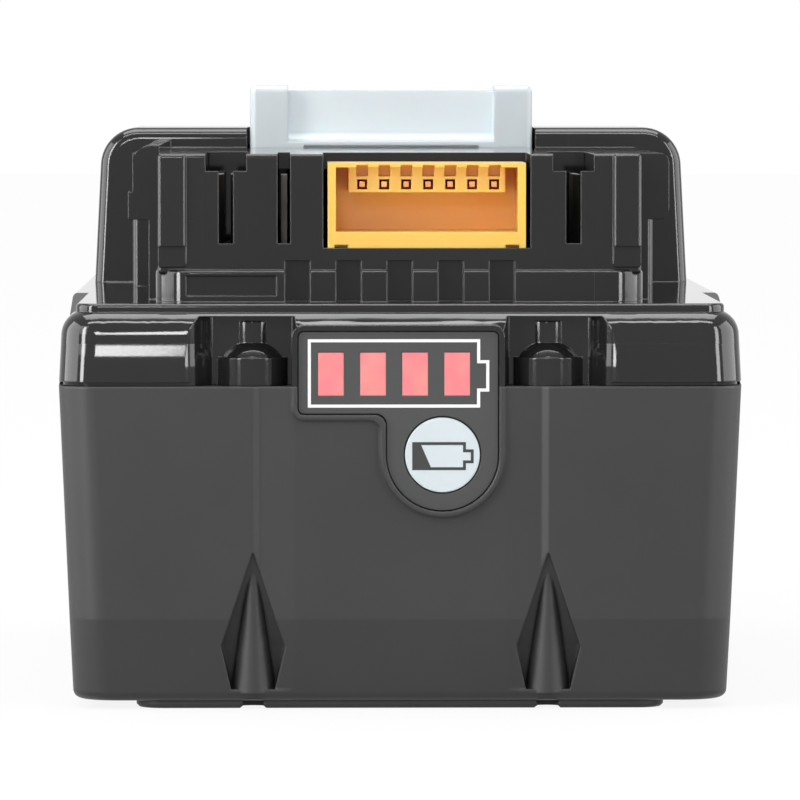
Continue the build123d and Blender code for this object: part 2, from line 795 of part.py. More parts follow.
    # Vents and the shallow panel on the plinth, grooves on the pillars, blind hole on the right one
    for index in range(vent_count):
        vent_x = (index - (vent_count - 1) / 2) * vent_pitch
        box_between((vent_x - vent_width / 2, plinth_front - overcut, deck_height),
                    (vent_x + vent_width / 2, plinth_front + vent_depth, plinth_top + overcut),
                    Mode.SUBTRACT)
    plinth_middle = (deck_height + plinth_top) / 2
    box_between((-plinth_window_left, plinth_front - overcut, plinth_middle - plinth_window_height / 2),
                (-plinth_window_right, plinth_front + plinth_window_depth,
                 plinth_middle + plinth_window_height / 2), Mode.SUBTRACT)
    for side in (-1, 1):
        pillar = sorted((side * (block_width / 2 - pillar_width - overcut),
                         side * (block_width / 2 + overcut)))
        box_between((pillar[0], block_front - pillar_lead - overcut, plinth_top),
                    (pillar[1], block_front - pillar_lead + pillar_notch_depth,
                     plinth_top + pillar_notch_height), Mode.SUBTRACT)
    with Locations((block_width / 2 - pillar_width / 2 - pillar_hole_radius / 2,
                    block_front + 2 * pillar_hole_radius, block_top)):
        Cylinder(pillar_hole_radius, 2 * pillar_hole_depth, mode=Mode.SUBTRACT)
    # Posts for the circuit board's screws, and the ledge under its front edge
    for side in (-1, 1):
        with Locations((side * board_screw_x, hump_front - block_wall - board_screw_back, board_top)):
            Cylinder(board_post_radius, hollow_roof - board_top + bite,
                     align=(Align.CENTER, Align.CENTER, Align.MIN))
            Cylinder(board_screw_radius + board_screw_gap, board_screw_length,
                     align=(Align.CENTER, Align.CENTER, Align.MIN), mode=Mode.SUBTRACT)
        ledge = sorted((side * board_screw_x, side * (board_screw_x + board_ledge_width)))
        box_between((ledge[0], hollow_front - bite, deck_under),
                    (ledge[1], board_front + board_ledge_bite, board_height))
    # Latch channel in front, shelf for its spring, window and recess for the thumb pad
    box_between((-latch_half_width - latch_gap, hump_front + hook_setback - latch_gap,
                 deck_under - overcut),
                (latch_half_width + latch_gap, hook_rear + latch_gap, hump_top + overcut), Mode.SUBTRACT)
    box_between((-latch_half_width - latch_gap, hump_front - overcut, block_top),
                (latch_half_width + latch_gap, hook_front + overcut, hump_top + overcut), Mode.SUBTRACT)
    box_between((-hump_inside - bite, spring_place - shelf_half_length, deck_under),
                (hump_inside + bite, spring_place + shelf_half_length, deck_height))
    with Locations((0, spring_place, deck_height)):
        Cylinder(peg_radius, peg_height, align=(Align.CENTER, Align.CENTER, Align.MIN))
    box_between((-pad_half_width - thumb_recess_side, case_rear - thumb_recess_depth,
                 pad_window_bottom - thumb_recess_margin),
                (pad_half_width + thumb_recess_side, case_rear + overcut,
                 pad_window_top + thumb_recess_margin), Mode.SUBTRACT)
    box_between((-pad_half_width - latch_gap, inner_rear - overcut, pad_window_bottom),
                (pad_half_width + latch_gap, case_rear + overcut, pad_window_top), Mode.SUBTRACT)
save(upper_case.part, "upper_case")

# Release latch: hook, bridge and thumb pad in one moulding
with BuildPart() as release_latch:
    box_between((-latch_half_width, hook_front, hook_bottom), (latch_half_width, hook_rear, latch_top))
    fillet(release_latch.edges().filter_by(Axis.Z), hook_round)
    fillet(release_latch.faces().sort_by(Axis.Z)[-1].edges(), hook_round)
    with BuildSketch(side_plane(-ramp_half_width)) as ramp:
        Polygon((hook_front - overcut, ramp_foot), (hook_front + ramp_reach - ramp_lean, ramp_foot),
                (hook_front + ramp_reach, latch_top - ramp_drop),
                (hook_rear + overcut, latch_top - ramp_drop), (hook_rear + overcut, latch_top + overcut),
                (hook_front - overcut, latch_top + overcut), align=None)
        fillet(ramp.vertices().group_by(Axis.Y)[0].sort_by(Axis.X)[-1], ramp_fillet)
    extrude(amount=2 * ramp_half_width, mode=Mode.SUBTRACT)
    hook_slot_half = ramp_half_width - hook_slot_margin
    box_between((-hook_slot_half, hook_front - overcut, ramp_foot - 2 * hook_slot_height),
                (hook_slot_half, hook_front + hook_slot_depth, ramp_foot - hook_slot_height),
                Mode.SUBTRACT)
    box_between((-pad_half_width, hook_rear - overcut, bridge_bottom),
                (pad_half_width, pad_front + overcut, bridge_bottom + bridge_thickness))
    box_between((-pad_half_width, pad_front, pad_bottom), (pad_half_width, pad_rear, pad_top))
    apron_half = pad_half_width + latch_gap + pad_apron_overlap
    box_between((-apron_half, inner_rear - latch_gap - pad_apron, pad_window_bottom - pad_apron_overlap),
                (apron_half, inner_rear - latch_gap, pad_window_top + latch_travel - latch_gap))
    pad_middle = (pad_bottom + pad_top) / 2
    with BuildSketch(side_plane(-pad_half_width - overcut)):
        with Locations((pad_rear + pad_scoop_radius - pad_scoop_depth, pad_middle)):
            Circle(pad_scoop_radius)
    extrude(amount=2 * pad_half_width + 2 * overcut, mode=Mode.SUBTRACT)
    with BuildSketch(side_plane(-pad_half_width + grip_margin)):
        for index in range(grip_count):
            rise = (index - (grip_count - 1) / 2) * grip_pitch
            bow = pad_scoop_radius - math.sqrt(pad_scoop_radius ** 2 - rise ** 2)
            with Locations((pad_rear - pad_scoop_depth + bow, pad_middle + rise)):
                Circle(grip_size)
    extrude(amount=2 * (pad_half_width - grip_margin))
    with Locations((0, spring_place, bridge_bottom)):
        Cylinder(spring_mean_radius + spring_wire / 2 + spring_socket_gap, 2 * spring_socket_depth,
                 mode=Mode.SUBTRACT)
save(release_latch.part, "release_latch")

# Coil spring under the latch, standing on the shelf round its peg
spring_foot = deck_height + spring_wire / 2 + spring_seat_gap
spring_head = bridge_bottom + spring_socket_depth - spring_wire / 2 - spring_seat_gap
spring_pitch = (spring_head - spring_foot) / spring_turns
with BuildPart() as latch_spring:
    with BuildLine() as coil:
        Helix(spring_pitch, spring_head - spring_foot, spring_mean_radius,
              center=(0, spring_place, spring_foot))
    with BuildSketch(Plane(origin=coil.line @ 0, z_dir=coil.line % 0)):
        Circle(spring_wire / 2)
    sweep(path=coil.line)
save(latch_spring.part, "latch_spring")
coil_samples = 200
coil_points = [coil.line @ (index / coil_samples) for index in range(coil_samples + 1)]
half_turn = coil_samples // (2 * spring_turns)
coil_gap = min((coil_points[i] - point).length for i in range(coil_samples)
               for point in coil_points[i + half_turn:])
print("latch spring's least gap to itself", round(coil_gap - spring_wire, 2))

# Cell frames: two end frames with a cup for each cell
for side, frame_name in ((-1, "cell_frame_left"), (1, "cell_frame_right")):
    outer_x = side * cell_length / 2
    inner_x = side * (cell_length / 2 - holder_depth)
    with BuildPart() as cell_frame:
        box_between((min(outer_x, inner_x), holder_front, holder_bottom),
                    (max(outer_x, inner_x), holder_front + row_length + 2 * holder_rim, holder_top))
        fillet(cell_frame.edges().filter_by(Axis.X), frame_corner)
        with BuildSketch(side_plane(min(outer_x, inner_x))):
            for cell_y, cell_z, plus_side in cell_places():
                with Locations((cell_y, cell_z)):
                    Circle(cell_radius + holder_fit)
        extrude(amount=holder_depth, mode=Mode.SUBTRACT)
    save(cell_frame.part, frame_name)

# Cells: a can with a crimp groove and a raised plus cap, made once and laid in both directions
with BuildPart() as cell_form:
    half = cell_length / 2
    shoulder = half - cell_nub_height
    with BuildSketch(Plane.XZ):
        with BuildLine():
            Polyline((0, -half), (cell_radius - cell_edge_radius, -half),
                     (cell_radius, -half + cell_edge_radius),
                     (cell_radius, shoulder - cell_groove_place - cell_groove_depth),
                     (cell_radius - cell_groove_depth, shoulder - cell_groove_place),
                     (cell_radius, shoulder - cell_groove_place + cell_groove_depth),
                     (cell_radius, shoulder - cell_edge_radius), (cell_radius - cell_edge_radius, shoulder),
                     (cell_nub_radius, shoulder), (cell_nub_radius, half), (0, half), close=True)
        make_face()
    revolve(axis=Axis.Z)
for index, (cell_y, cell_z, plus_side) in enumerate(cell_places()):
    laid = Location((0, cell_y, cell_z), (0, plus_side * 90, 0))
    save(cell_form.part.moved(laid), f"cell_{index + 1:02d}")

# Nickel strips that join the cell columns, with a lead up to the board at each end of the string
columns_joined = {-1: [(0,), (1, 2), (3, 4)], 1: [(0, 1), (2, 3), (4,)]}
side_names = {-1: "left", 1: "right"}
upper_cell_z = first_cell_z + (cell_layers - 1) * cell_pitch
lead_z = holder_top
for side in (-1, 1):
    face_x = side * cell_length / 2
    back_x = side * (cell_length / 2 + strip_thickness)
    near_x, far_x = sorted((face_x, back_x))
    for number, columns in enumerate(columns_joined[side]):
        low_y = first_cell_y + columns[0] * cell_pitch - strip_margin
        high_y = first_cell_y + columns[-1] * cell_pitch + strip_margin
        with BuildPart() as bus_strip:
            with BuildSketch(side_plane(near_x)):
                with Locations(((low_y + high_y) / 2, (first_cell_z + upper_cell_z) / 2)):
                    RectangleRounded(high_y - low_y, upper_cell_z - first_cell_z + 2 * strip_margin,
                                     strip_corner)
            extrude(amount=strip_thickness)
            if len(columns) == 1:
                lead_y = (low_y + high_y) / 2
                lead_half = strip_margin / 2
                lead_end = side * (board_half_width - lead_inset)
                box_between((near_x, lead_y - lead_half, upper_cell_z),
                            (far_x, lead_y + lead_half, lead_z + strip_thickness))
                run_x = sorted((back_x, lead_end))
                box_between((run_x[0], lead_y - lead_half, lead_z),
                            (run_x[1], lead_y + lead_half, lead_z + strip_thickness))
                turn_x = sorted((lead_end, lead_end + side * strip_margin))
                meet_y = min(lead_y, board_rear - strip_margin)
                box_between((turn_x[0], meet_y - lead_half, lead_z),
                            (turn_x[1], lead_y + lead_half, lead_z + strip_thickness))
                leg_x = sorted((lead_end, lead_end + side * strip_thickness))
                box_between((leg_x[0], meet_y - lead_half, lead_z),
                            (leg_x[1], meet_y + lead_half, board_height))
        save(bus_strip.part, f"bus_strip_{side_names[side]}_{number + 1}")

# Fish paper over the strips
for side in (-1, 1):
    near_x = min(side * (cell_length / 2 + strip_thickness),
                 side * (cell_length / 2 + strip_thickness + insulator_thickness))
    with BuildPart() as insulator:
        with BuildSketch(side_plane(near_x)):
            with Locations(((holder_front + holder_front + row_length + 2 * holder_rim) / 2,
                            (holder_bottom + holder_top) / 2)):
                RectangleRounded(row_length + 2 * holder_rim - 2 * insulator_margin,
                                 holder_top - holder_bottom - 2 * insulator_margin, strip_corner)
        extrude(amount=insulator_thickness)
    save(insulator.part, f"insulator_{side_names[side]}")

# Foam pad on the floor under the cell frames
with BuildPart() as base_foam:
    with BuildSketch(Plane.XY.offset(floor_wall)):
        with Locations((0, holder_front + holder_rim + row_length / 2)):
            RectangleRounded(cell_length - foam_margin, row_length - foam_margin, strip_corner)
    extrude(amount=foam_thickness)
save(base_foam.part, "base_foam")

# Main circuit board, standing in the block on its ledge and posts
board_middle = (board_front + board_rear) / 2
post_y = hump_front - block_wall - board_screw_back
with BuildPart() as main_board:
    with BuildSketch(Plane.XY.offset(board_height)):
        with Locations((0, board_middle)):
            Rectangle(2 * board_half_width, board_rear - board_front)
        with Locations((-board_screw_x, post_y), (board_screw_x, post_y)):
            Circle(board_screw_radius + board_hole_gap, mode=Mode.SUBTRACT)
    extrude(amount=board_thickness)
save(main_board.part, "main_board")

with BuildPart() as board_screws:
    for side in (-1, 1):
        with Locations((side * board_screw_x, post_y, board_height)):
            Cylinder(board_screw_radius, board_thickness + board_screw_length - board_hole_gap,
                     align=(Align.CENTER, Align.CENTER, Align.MIN))
            Cylinder(board_screw_head_radius, board_screw_head_height,
                     align=(Align.CENTER, Align.CENTER, Align.MAX))
save(board_screws.part, "board_screws")

with BuildPart() as controller_chip:
    with BuildSketch(Plane.XY.offset(board_top)):
        with Locations((0, board_front + chip_back)):
            Rectangle(chip_size, chip_size)
    extrude(amount=chip_height)
    chamfer(controller_chip.faces().sort_by(Axis.Z)[-1].edges(), chip_chamfer)
save(controller_chip.part, "controller_chip")

with BuildPart() as power_transistors:
    with BuildSketch(Plane.XY.offset(board_top)):
        with Locations((transistor_x, board_front + chip_back + transistor_length)):
            with GridLocations(1, transistor_pitch, 1, transistor_count):
                Rectangle(transistor_width, transistor_length)
    extrude(amount=transistor_height)
save(power_transistors.part, "power_transistors")

with BuildPart() as shunt_resistor:
    box_between((-transistor_x - shunt_width / 2, board_front + chip_back, board_top),
                (-transistor_x + shunt_width / 2, board_front + chip_back + shunt_length,
                 board_top + shunt_height))
    fillet(shunt_resistor.faces().sort_by(Axis.Z)[-1].edges().filter_by(Axis.X), shunt_round)
save(shunt_resistor.part, "shunt_resistor")

with BuildPart() as board_capacitors:
    with BuildSketch(Plane.XY.offset(board_top)):
        with Locations((0, board_front + chip_back + chip_size)):
            with GridLocations(capacitor_pitch, 1, capacitor_count, 1):
                Circle(capacitor_radius)
    extrude(amount=capacitor_height)
    chamfer(board_capacitors.faces().group_by(Axis.Z)[-1].edges(), capacitor_chamfer)
save(board_capacitors.part, "board_capacitors")

# Power terminals: a plastic base on the board and a fork of two sprung blades in each slot
contact_front = block_front + contact_setback
contact_foot = board_top + contact_base_height
contact_top = block_top - contact_top_gap
base_half = slot_width / 2 - contact_base_gap
with BuildPart() as terminal_bases:
    for side in (-1, 1):
        box_between((side * slot_x - base_half, contact_front, board_top),
                    (side * slot_x + base_half, contact_front + contact_length, contact_foot))
save(terminal_bases.part, "terminal_bases")

for side, terminal_name in ((-1, "terminal_negative"), (1, "terminal_positive")):
    with BuildPart() as fork:
        for blade in (-1, 1):
            inner = side * slot_x + blade * contact_gap / 2
            outer = inner + blade * contact_sheet
            flare = blade * contact_flare
            waist = contact_front + contact_length / 4
            contact_rear = contact_front + contact_length
            with BuildSketch(Plane.XY.offset(contact_foot)):
                Polygon((inner + flare, contact_front), (inner, waist), (inner, contact_rear),
                        (outer, contact_rear), (outer, waist), (outer + flare, contact_front), align=None)
            extrude(amount=contact_top - contact_foot)
        box_between((side * slot_x - (contact_gap + contact_sheet) / 2, contact_front + contact_length / 2,
                     contact_foot),
                    (side * slot_x + (contact_gap + contact_sheet) / 2, contact_front + contact_length,
                     contact_foot + contact_sheet))
    save(fork.part, terminal_name)

# Signal contact in the narrow slot: one bent blade on its own foot
signal_front = block_front + contact_setback
with BuildPart() as signal_terminal:
    box_between((signal_x - contact_sheet / 2, signal_front, board_top),
                (signal_x + contact_sheet / 2, signal_front + signal_contact_length, contact_top))
    box_between((signal_x - slot_width / 2, signal_front, board_top),
                (signal_x + contact_sheet / 2, signal_front + signal_contact_length,
                 board_top + contact_sheet))
save(signal_terminal.part, "signal_terminal")

# Signal connector: open-fronted housing with a tongue for the pins over the plug's room
with BuildPart() as connector_housing:
    box_between((connector_left, block_front, connector_bottom),
                (connector_right, connector_rear, connector_top))
    box_between((connector_left, hollow_front + board_gap / 2, board_top),
                (connector_right, connector_rear, connector_bottom + overcut))
    room_left = connector_left + connector_wall
    room_right = connector_right - connector_wall
    tongue_left_x = connector_left + tongue_left
    tongue_right_x = connector_right - tongue_right
    room_back = connector_rear - connector_back_wall
    room_top = connector_top - tongue_roof
    box_between((room_left, block_front - overcut, connector_bottom + connector_lip),
                (room_right, room_back, tongue_bottom), Mode.SUBTRACT)
    box_between((room_left, block_front - overcut, connector_bottom + connector_lip),
                (room_right, tongue_front, room_top), Mode.SUBTRACT)
    box_between((room_left, block_front - overcut, tongue_bottom - overcut),
                (tongue_left_x, room_back, room_top), Mode.SUBTRACT)
    box_between((tongue_right_x, block_front - overcut, tongue_bottom - overcut),
                (room_right, room_back, room_top), Mode.SUBTRACT)
    for index in range(pin_count):
        pin_x = pin_centre_x + (index - (pin_count - 1) / 2) * pin_pitch
        box_between((pin_x - pin_hole_square / 2, tongue_front - overcut, pin_z - pin_hole_square / 2),
                    (pin_x + pin_hole_square / 2, room_back, pin_z + pin_hole_square / 2), Mode.SUBTRACT)
        box_between((pin_x - pin_square / 2, room_back - overcut, pin_z - pin_square / 2),
                    (pin_x + pin_square / 2, connector_rear + overcut, pin_z + pin_square / 2),
                    Mode.SUBTRACT)
        box_between((pin_x - comb_notch_width / 2, block_front - overcut, room_top - overcut),
                    (pin_x + comb_notch_width / 2, tongue_front + comb_notch_depth,
                     room_top + comb_notch_height), Mode.SUBTRACT)
    for low_x, high_x in ((connector_left + lip_notch_width / 2, connector_left + 3 * lip_notch_width / 2),
                          (connector_right - 3 * lip_notch_width / 2,
                           connector_right - lip_notch_width / 2)):
        box_between((low_x, block_front - overcut, connector_bottom - overcut),
                    (high_x, block_front + lip_notch_width, connector_bottom + lip_notch_height),
                    Mode.SUBTRACT)
save(connector_housing.part, "connector_housing")

with BuildPart() as connector_pins:
    for index in range(pin_count):
        pin_x = pin_centre_x + (index - (pin_count - 1) / 2) * pin_pitch
        half = pin_square / 2
        box_between((pin_x - half, tongue_front + pin_sink, pin_z - half),
                    (pin_x + half, connector_rear + pin_square, pin_z + half))
        box_between((pin_x - half, connector_rear, board_top),
                    (pin_x + half, connector_rear + pin_square, pin_z + half))
save(connector_pins.part, "connector_pins")

# Thermistor in the valley between two upper cells, on two legs from the board
valley_y = first_cell_y + (cell_columns // 2 - 0.5) * cell_pitch
bead_reach = cell_radius + thermistor_radius + thermistor_gap
valley_z = upper_cell_z + math.sqrt(bead_reach ** 2 - (cell_pitch / 2) ** 2)
with BuildPart() as thermistor:
    with BuildSketch(side_plane(-thermistor_length / 2)):
        with Locations((valley_y, valley_z)):
            Circle(thermistor_radius)
    extrude(amount=thermistor_length)
    for side in (-1, 1):
        with Locations((side * thermistor_length / 4, valley_y, valley_z)):
            Cylinder(thermistor_leg, board_height - valley_z, align=(Align.CENTER, Align.CENTER, Align.MIN))
save(thermistor.part, "thermistor")

# Charge gauge: panel, red windows, button, and behind them the gauge board with its lights and switch
panel_front = gauge_floor - gauge_thickness
with BuildPart() as gauge_panel:
    extrude(gauge_face(panel_front, 0), amount=-gauge_thickness)
    with BuildSketch(front_plane(panel_front - overcut)) as panel_holes:
        with Locations((light_centre_x, light_centre_z)):
            with GridLocations(light_pitch, 1, light_count, 1):
                Rectangle(light_width + 2 * window_gap, light_height + 2 * window_gap)
        with Locations((lobe_x, lobe_z)):
            Circle(button_radius + button_gap)
    extrude(panel_holes.sketch, amount=-(gauge_thickness + 2 * overcut), mode=Mode.SUBTRACT)
save(gauge_panel.part, "gauge_panel")

with BuildPart() as gauge_windows:
    with BuildSketch(front_plane(panel_front)):
        with Locations((light_centre_x, light_centre_z)):
            with GridLocations(light_pitch, 1, light_count, 1):
                Rectangle(light_width, light_height)
    extrude(amount=-(gauge_pocket_front - panel_front))
save(gauge_windows.part, "gauge_windows")

switch_front = gauge_board_front - switch_thickness
plunger_front = switch_front - plunger_height
button_front = panel_front - button_proud
with BuildPart() as gauge_button:
    with BuildSketch(front_plane(button_front)):
        with Locations((lobe_x, lobe_z)):
            Circle(button_radius)
    extrude(amount=-(gauge_floor - button_travel - button_gap - button_front))
    fillet(gauge_button.faces().sort_by(Axis.Y)[0].edges(), button_proud)
    with BuildSketch(front_plane(panel_front)):
        with Locations((lobe_x, lobe_z)):
            Circle(button_stem_radius)
    extrude(amount=-(plunger_front - panel_front))
save(gauge_button.part, "gauge_button")

with BuildPart() as switch_plunger:
    with BuildSketch(front_plane(plunger_front)):
        with Locations((lobe_x, lobe_z)):
            Circle(plunger_radius)
    extrude(amount=-(plunger_height + switch_thickness - button_travel - button_gap))
save(switch_plunger.part, "switch_plunger")

with BuildPart() as gauge_switch:
    with BuildSketch(front_plane(switch_front)):
        with Locations((lobe_x, lobe_z)):
            Rectangle(switch_size, switch_size)
            Circle(plunger_radius + button_gap, mode=Mode.SUBTRACT)
    extrude(amount=-switch_thickness)
save(gauge_switch.part, "gauge_switch")

with BuildPart() as gauge_board:
    box_between((-gauge_board_half_width, gauge_board_front, gauge_board_bottom),
                (gauge_board_half_width, gauge_board_back, gauge_board_top))
save(gauge_board.part, "gauge_board")

with BuildPart() as gauge_lights:
    with BuildSketch(front_plane(gauge_board_front - led_thickness)):
        with Locations((light_centre_x, light_centre_z)):
            with GridLocations(light_pitch, 1, light_count, 1):
                Rectangle(led_width, led_height)
    extrude(amount=-led_thickness)
save(gauge_lights.part, "gauge_lights")

# Flat ribbon from the gauge board's back, over its top and up to the main board's front edge
ribbon_top = gauge_board_top + ribbon_rise
ribbon_end = board_front + ribbon_bite
with BuildPart() as gauge_ribbon:
    for low_y, low_z, high_y, high_z in (
            (gauge_board_back, gauge_board_top - ribbon_width, gauge_board_back + ribbon_thickness,
             ribbon_top),
            (gauge_board_back, ribbon_top - ribbon_thickness, ribbon_end, ribbon_top),
            (ribbon_end - ribbon_thickness, ribbon_top - ribbon_thickness, ribbon_end, board_height)):
        box_between((-ribbon_width / 2, low_y, low_z), (ribbon_width / 2, high_y, high_z))
save(gauge_ribbon.part, "gauge_ribbon")

# Four case screws from below, and the plastic plug over one of them
with BuildPart() as case_screws:
    for place in screw_places:
        with Locations((place[0], place[1], screw_head_seat)):
            Cylinder(screw_radius, screw_end_height - screw_head_seat,
                     align=(Align.CENTER, Align.CENTER, Align.MIN))
            Cylinder(screw_head_radius, screw_head_height, align=(Align.CENTER, Align.CENTER, Align.MAX))
        with Locations((place[0], place[1], screw_head_seat - screw_head_height)):
            Cylinder(screw_socket_radius, 2 * screw_socket_depth, mode=Mode.SUBTRACT)
save(case_screws.part, "case_screws")

with BuildPart() as screw_plug:
    with Locations((screw_places[0][0], screw_places[0][1], screw_head_seat - screw_head_height)):
        Cylinder(screw_head_radius + screw_head_gap / 2, plug_height,
                 align=(Align.CENTER, Align.CENTER, Align.MAX))
    chamfer(screw_plug.faces().sort_by(Axis.Z)[0].edges(), plug_chamfer)
save(screw_plug.part, "screw_plug")
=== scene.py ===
import math

import bmesh
import bpy
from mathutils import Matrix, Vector


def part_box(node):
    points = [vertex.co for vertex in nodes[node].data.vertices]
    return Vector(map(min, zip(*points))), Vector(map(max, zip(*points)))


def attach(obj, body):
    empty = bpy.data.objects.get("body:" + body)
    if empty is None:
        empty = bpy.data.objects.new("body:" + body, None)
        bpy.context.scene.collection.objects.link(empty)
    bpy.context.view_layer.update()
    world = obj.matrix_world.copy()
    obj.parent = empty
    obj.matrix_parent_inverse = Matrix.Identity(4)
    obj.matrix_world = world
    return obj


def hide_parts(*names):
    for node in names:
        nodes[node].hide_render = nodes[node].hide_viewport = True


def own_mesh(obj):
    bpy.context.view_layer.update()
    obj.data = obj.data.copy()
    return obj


# Slide-on power tool battery pack, seen from its connector end. Everything is in metres.
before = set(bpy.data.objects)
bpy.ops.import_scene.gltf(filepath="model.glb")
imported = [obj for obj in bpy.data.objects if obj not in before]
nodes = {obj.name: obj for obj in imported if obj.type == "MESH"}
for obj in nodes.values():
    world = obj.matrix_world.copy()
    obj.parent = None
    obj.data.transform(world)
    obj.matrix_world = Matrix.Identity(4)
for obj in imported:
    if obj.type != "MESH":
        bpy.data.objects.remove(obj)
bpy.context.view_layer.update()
MM = 0.001
merge_distance = 1e-7


# Camera, fitted to the photograph's edges and vanishing point
photo_width = 800
focal_pixels = 6419
sensor_width = 36.0
camera_place = (-0.0106, -0.757, 0.069)
camera_down = 2.85
camera_right = 0.859

lens = bpy.data.cameras.new("camera")
lens.sensor_fit = "AUTO"
lens.sensor_width = sensor_width
lens.lens = sensor_width * focal_pixels / photo_width
lens.clip_start = 0.01
lens.clip_end = 20
camera = bpy.data.objects.new("camera", lens)
camera.location = camera_place
camera.rotation_euler = (math.radians(90 - camera_down), 0, math.radians(-camera_right))
bpy.context.scene.collection.objects.link(camera)
bpy.context.scene.camera = camera
bpy.context.scene.view_settings.view_transform = "Standard"


def linear(hex_colour):
    """An sRGB hex colour as linear red, green, blue and alpha."""
    parts = [int(hex_colour[i:i + 2], 16) / 255 for i in (1, 3, 5)]
    return tuple(p / 12.92 if p <= 0.04045 else ((p + 0.055) / 1.055) ** 2.4 for p in parts) + (1.0,)


def add(tree, kind, inputs=None, **settings):
    """Adds a shader node with its settings, and gives each named input a value or a link."""
    made = tree.nodes.new(kind)
    for name, value in settings.items():
        setattr(made, name, value)
    for name, value in (inputs or {}).items():
        if isinstance(value, bpy.types.NodeSocket):
            tree.links.new(value, made.inputs[name])
        else:
            made.inputs[name].default_value = value
    return made


def ramp(tree, factor, stops):
    """Adds a colour ramp with the given places and hex colours."""
    made = add(tree, "ShaderNodeValToRGB", {"Fac": factor})
    for place, colour in stops[1:-1]:
        made.color_ramp.elements.new(place)
    for element, (place, colour) in zip(made.color_ramp.elements, stops):
        element.position = place
        element.color = linear(colour)
    return made.outputs["Color"]


def new_material(name, **sockets):
    """A material with a Principled shader whose own sockets hold its constants."""
    made = bpy.data.materials.new(name)
    made.use_nodes = True
    shader = made.node_tree.nodes["Principled BSDF"]
    for socket, value in sockets.items():
        shader.inputs[socket.replace("_", " ")].default_value = value
    return made, made.node_tree, shader


def object_place(tree, scale=(1, 1, 1)):
    """Object coordinates, stretched by a scale."""
    place = add(tree, "ShaderNodeTexCoord").outputs["Object"]
    return add(tree, "ShaderNodeMapping", {"Vector": place, "Scale": scale}).outputs["Vector"]


def moulded(name, colours, grain_mm, grain_depth_mm, roughness, edge_mm=0.25, wave_mm=0.0, crown=None,
            **sockets):
    """A moulded plastic: mottled colour, spark-eroded grain, slow sink waves and softened edges.

    A crown is the low and the high end, in mm above the base, of a stretch of wall that bows in by
    a depth in mm towards its top, and the half width at the middle that stays as it is.
    """
    mottle_mm, wave_length_mm = 18, 9
    made, tree, shader = new_material(name, **sockets)
    place = object_place(tree)
    mottle = add(tree, "ShaderNodeTexNoise", {"Vector": place, "Scale": 1 / (mottle_mm * MM), "Detail": 3.0})
    base = ramp(tree, mottle.outputs["Fac"], [(0.3, colours[0]), (0.7, colours[1])])
    tree.links.new(base, shader.inputs["Base Color"])
    grain = add(tree, "ShaderNodeTexNoise", {"Vector": place, "Scale": 1 / (grain_mm * MM), "Detail": 2.0})
    wear = add(tree, "ShaderNodeMapRange", {"Value": grain.outputs["Fac"], "From Min": 0.3, "From Max": 0.7,
                                            "To Min": roughness[0], "To Max": roughness[1]})
    tree.links.new(wear.outputs["Result"], shader.inputs["Roughness"])
    soft = add(tree, "ShaderNodeBevel", {"Radius": edge_mm * MM}, samples=6)
    normal = add(tree, "ShaderNodeBump", {"Height": grain.outputs["Fac"], "Distance": grain_depth_mm * MM,
                                          "Normal": soft.outputs["Normal"]})
    if wave_mm:
        wave = add(tree, "ShaderNodeTexNoise", {"Vector": place, "Scale": 1 / (wave_length_mm * MM),
                                                "Detail": 0.0})
        normal = add(tree, "ShaderNodeBump", {"Height": wave.outputs["Fac"], "Distance": wave_mm * MM,
                                              "Normal": normal.outputs["Normal"]})
    if crown:
        low, high, depth, clear = [value * MM for value in crown]
        axes = add(tree, "ShaderNodeSeparateXYZ", {"Vector": place}).outputs
        rise = add(tree, "ShaderNodeMapRange", {"Value": axes["Z"], "From Min": low, "From Max": high})
        bow = add(tree, "ShaderNodeMath", {0: rise.outputs["Result"], 1: 2.0}, operation="POWER")
        aside = add(tree, "ShaderNodeMath", {0: axes["X"]}, operation="ABSOLUTE")
        outside = add(tree, "ShaderNodeMath", {0: aside.outputs["Value"], 1: clear},
                      operation="GREATER_THAN")
        lift = add(tree, "ShaderNodeMath", {0: bow.outputs["Value"], 1: outside.outputs["Value"]},
                   operation="MULTIPLY")
        normal = add(tree, "ShaderNodeBump", {"Height": lift.outputs["Value"], "Distance": depth,
                                              "Normal": normal.outputs["Normal"]}, invert=True)
    tree.links.new(normal.outputs["Normal"], shader.inputs["Normal"])
    return made


# Glass-filled nylon tub: satin, finely eroded, so it shows soft grey gradients and no sharp reflection
tub_nylon = moulded("moulded_grey_nylon", ("#292929", "#2E2E2E"), 0.35, 0.004, (0.42, 0.5), edge_mm=0.4,
                    IOR=1.37)
# Polished black ABS shell: mirror-like, with the slow waves that thin walls sink into
shell_abs = moulded("polished_black_abs", ("#1F1F1F", "#232323"), 0.25, 0.0003, (0.04, 0.08), edge_mm=0.2,
                    wave_mm=0.004, crown=(37.6, 40.25, 0.19, 21.5), IOR=1.36)
# Acetal latch: pale, slightly translucent, with a waxy sheen
latch_acetal = moulded("pale_grey_acetal", ("#D6E0E5", "#DDE6EA"), 0.3, 0.002, (0.28, 0.36), edge_mm=0.3,
                       IOR=1.48, Subsurface_Weight=0.15, Subsurface_Scale=0.002)
# PBT signal housing: amber yellow, satin, a little translucent at its thin edges
housing_pbt = moulded("amber_pbt", ("#FFC03E", "#FFC84E"), 0.3, 0.002, (0.30, 0.40), edge_mm=0.2, IOR=1.57,
                      Subsurface_Weight=0.35, Subsurface_Scale=0.003)
# Polycarbonate frames, bases and plug: plain black, dull from the mould
frame_polycarbonate = moulded("dull_black_polycarbonate", ("#171717", "#1D1D1D"), 0.3, 0.004, (0.45, 0.6),
                              IOR=1.58)
